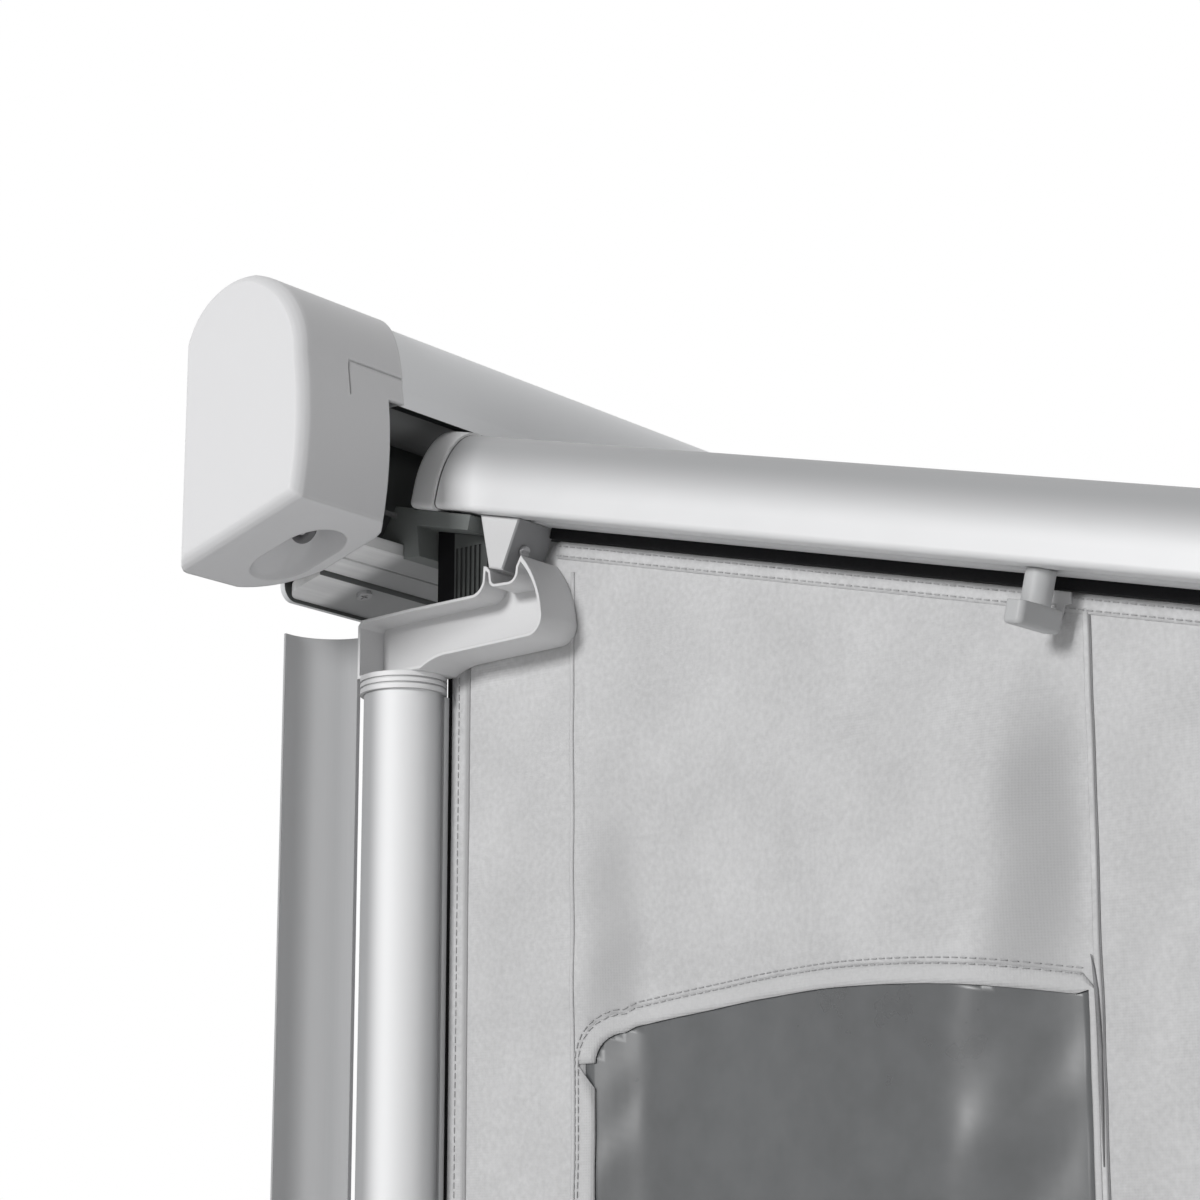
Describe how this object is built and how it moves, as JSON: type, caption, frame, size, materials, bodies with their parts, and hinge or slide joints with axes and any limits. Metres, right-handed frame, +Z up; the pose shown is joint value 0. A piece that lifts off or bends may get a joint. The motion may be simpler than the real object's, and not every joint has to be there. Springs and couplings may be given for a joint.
{
  "type": "awning",
  "caption": "Wall-mounted case awning opened on folding arms, with legs, a tensioning rafter, a wall pole and a hung cloth side wall with an arched window.",
  "frame": {"origin": "on the wall face the case screws to, at the middle of the case length and on the level between the two rows of screw holes", "axes": "+X along the case to its right end, +Y into the wall, +Z up; the canopy points to -Y"},
  "size_m": [2.6, 1.792, 2.2299],
  "materials": {
    "cap_plastic": "slightly satin light grey moulding",
    "case_paint": "light grey powder coat",
    "rail_aluminium": "satin anodised",
    "tube_aluminium": "satin anodised tube",
    "cast_grey": "light grey painted casting",
    "dark_plastic": "dark greenish grey moulding",
    "grey_plastic": "mid grey moulding",
    "black_strip": "matt black edging",
    "pin_steel": "plain steel",
    "canopy_cloth": "coated awning cloth",
    "wall_cloth": "light grey coated cloth",
    "clear_film": "clear flexible film",
    "foot_rubber": "black foot"
  },
  "bodies": {
    "case": {"back_profile": "case_paint", "case_floor": "case_paint", "hood": "case_paint", "hood_strip": "case_paint", "left_end_cap": "cap_plastic", "right_end_cap": "cap_plastic", "gearbox": "grey_plastic", "right_bearing": "grey_plastic", "left_shoulder_bracket": "cast_grey", "right_shoulder_bracket": "cast_grey", "left_shoulder_pin": "pin_steel", "right_shoulder_pin": "pin_steel", "case_screws": "pin_steel", "canopy": "canopy_cloth", "rafter_tube": "tube_aluminium", "rafter_end_cap": "grey_plastic", "rafter_shoe": "dark_plastic", "corner_flap": "dark_plastic", "hanger_block": "cast_grey", "hanger_screw": "pin_steel", "corner_bracket": "cast_grey", "pole_collar": "cast_grey", "wall_pole": "tube_aluminium", "wall_channel": "tube_aluminium", "side_wall": "wall_cloth", "side_window": "clear_film", "top_strip": "black_strip", "side_strip": "black_strip", "knob_hook": "cap_plastic"},
    "roller": {"roller_tube": "tube_aluminium", "left_roller_plug": "grey_plastic", "right_roller_plug": "grey_plastic", "wound_canopy": "canopy_cloth"},
    "winch": {"winch_eye": "pin_steel"},
    "left_upper": {"left_upper_arm": "rail_aluminium", "left_arm_spring": "pin_steel", "left_elbow_pin": "pin_steel"},
    "left_fore": {"left_forearm": "rail_aluminium", "left_wrist_pin": "pin_steel"},
    "right_upper": {"right_upper_arm": "rail_aluminium", "right_arm_spring": "pin_steel", "right_elbow_pin": "pin_steel"},
    "right_fore": {"right_forearm": "rail_aluminium", "right_wrist_pin": "pin_steel"},
    "front_rail": {"lead_rail": "rail_aluminium", "left_rail_cap": "grey_plastic", "right_rail_cap": "grey_plastic", "left_leg_hinge": "cast_grey", "right_leg_hinge": "cast_grey"},
    "left_leg": {"left_leg_outer": "tube_aluminium"},
    "left_leg_slide": {"left_leg_inner": "tube_aluminium", "left_leg_foot": "foot_rubber"},
    "right_leg": {"right_leg_outer": "tube_aluminium"},
    "right_leg_slide": {"right_leg_inner": "tube_aluminium", "right_leg_foot": "foot_rubber"},
    "pole_slide": {"pole_inner": "tube_aluminium", "pole_foot": "foot_rubber"},
    "rafter_slider": {"rafter_slide": "tube_aluminium", "rafter_nose": "grey_plastic"},
    "knob": {"t_knob": "grey_plastic"}
  },
  "joints": [
    {"name": "left_shoulder", "type": "hinge", "parent": "case", "child": "left_upper", "pos_m": [-1.08, -0.032, -0.007], "axis": [0, -0.2351, 0.972], "range_deg": [0, 73.5], "deforming": ["canopy"]},
    {"name": "left_elbow", "type": "hinge", "parent": "left_upper", "child": "left_fore", "pos_m": [-0.84706, -0.87696, -0.21142], "axis": [0, -0.2351, 0.972], "range_deg": [-147, 0]},
    {"name": "left_wrist", "type": "hinge", "parent": "left_fore", "child": "front_rail", "pos_m": [-1.08, -1.72192, -0.41583], "axis": [0, -0.2351, 0.972], "range_deg": [0, 73.5]},
    {"name": "right_shoulder", "type": "hinge", "parent": "case", "child": "right_upper", "pos_m": [1.08, -0.032, -0.007], "axis": [0, -0.2351, 0.972], "range_deg": [-73.5, 0]},
    {"name": "right_elbow", "type": "hinge", "parent": "right_upper", "child": "right_fore", "pos_m": [0.84706, -0.87696, -0.21142], "axis": [0, -0.2351, 0.972], "range_deg": [0, 147]},
    {"name": "roller_turn", "type": "hinge", "parent": "case", "child": "roller", "pos_m": [0, -0.042, 0.044], "axis": [1, 0, 0], "range_deg": [0, 3590]},
    {"name": "winch_turn", "type": "hinge", "parent": "case", "child": "winch", "pos_m": [-1.252, -0.04, -0.039], "axis": [0, 0, 1], "range_deg": [0, 7175]},
    {"name": "left_leg_swing", "type": "hinge", "parent": "front_rail", "child": "left_leg", "pos_m": [-1.095, -1.73693, -0.47708], "axis": [0, -1, 0], "range_deg": [0, 90]},
    {"name": "right_leg_swing", "type": "hinge", "parent": "front_rail", "child": "right_leg", "pos_m": [1.095, -1.75929, -0.48249], "axis": [0, 1, 0], "range_deg": [0, 90]},
    {"name": "left_leg_extend", "type": "slide", "parent": "left_leg", "child": "left_leg_slide", "axis": [0, 0, 1], "range_m": [0, 0.6]},
    {"name": "right_leg_extend", "type": "slide", "parent": "right_leg", "child": "right_leg_slide", "axis": [0, 0, 1], "range_m": [0, 0.6]},
    {"name": "pole_extend", "type": "slide", "parent": "case", "child": "pole_slide", "axis": [0, 0, 1], "range_m": [0, 0.8]},
    {"name": "rafter_extend", "type": "slide", "parent": "case", "child": "rafter_slider", "axis": [0, 0.972, 0.2351], "range_m": [0, 0.18]},
    {"name": "knob_turn", "type": "hinge", "parent": "case", "child": "knob", "pos_m": [-1.183, -0.41025, -0.11908], "axis": [0, -0.2351, 0.972], "range_deg": [0, 90]}
  ],
  "couplings": [
    {"joint": "left_elbow", "follows": "left_shoulder", "ratio": -2},
    {"joint": "left_wrist", "follows": "left_shoulder", "ratio": 1},
    {"joint": "right_shoulder", "follows": "left_shoulder", "ratio": -1},
    {"joint": "right_elbow", "follows": "left_shoulder", "ratio": 2},
    {"joint": "roller_turn", "follows": "left_shoulder", "ratio": 48.8},
    {"joint": "winch_turn", "follows": "left_shoulder", "ratio": 97.6}
  ]
}
